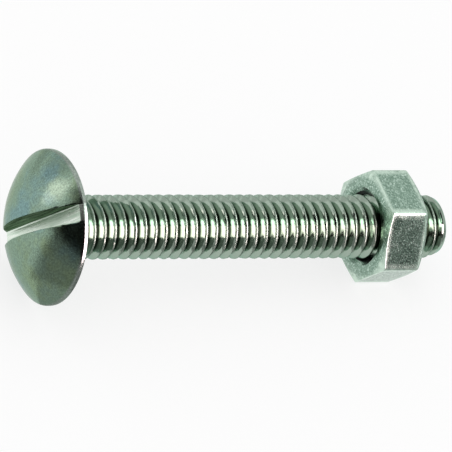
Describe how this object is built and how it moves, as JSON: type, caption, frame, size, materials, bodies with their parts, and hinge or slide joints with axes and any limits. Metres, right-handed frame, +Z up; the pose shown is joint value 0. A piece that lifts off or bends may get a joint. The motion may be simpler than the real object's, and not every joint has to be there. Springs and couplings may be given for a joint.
{
  "type": "stove bolt",
  "caption": "Slotted mushroom-head machine bolt, threaded along its whole shank, with a hex nut run down near its point, lying at rest.",
  "frame": {"origin": "centre of the bounding box's footprint, on the floor the bolt lies on", "axes": "+X along the bolt towards its point (the shank slopes down to it by about 3.6 degrees), +Y across it, +Z up"},
  "size_m": [0.0586, 0.0188, 0.0189],
  "materials": {
    "bolt_steel": "bright zinc-plated steel, satin head, bright rolled thread, faint green-grey tint",
    "nut_steel": "zinc-plated steel, fine-grained flats, faint green-grey tint"
  },
  "bodies": {
    "bolt": {"bolt": "bolt_steel"},
    "nut": {"hex_nut": "nut_steel"}
  },
  "joints": [
    {"name": "nut_travel", "type": "slide", "parent": "bolt", "child": "nut", "axis": [0.998, 0, -0.0635], "range_m": [-0.04233, 0.01129]}
  ]
}
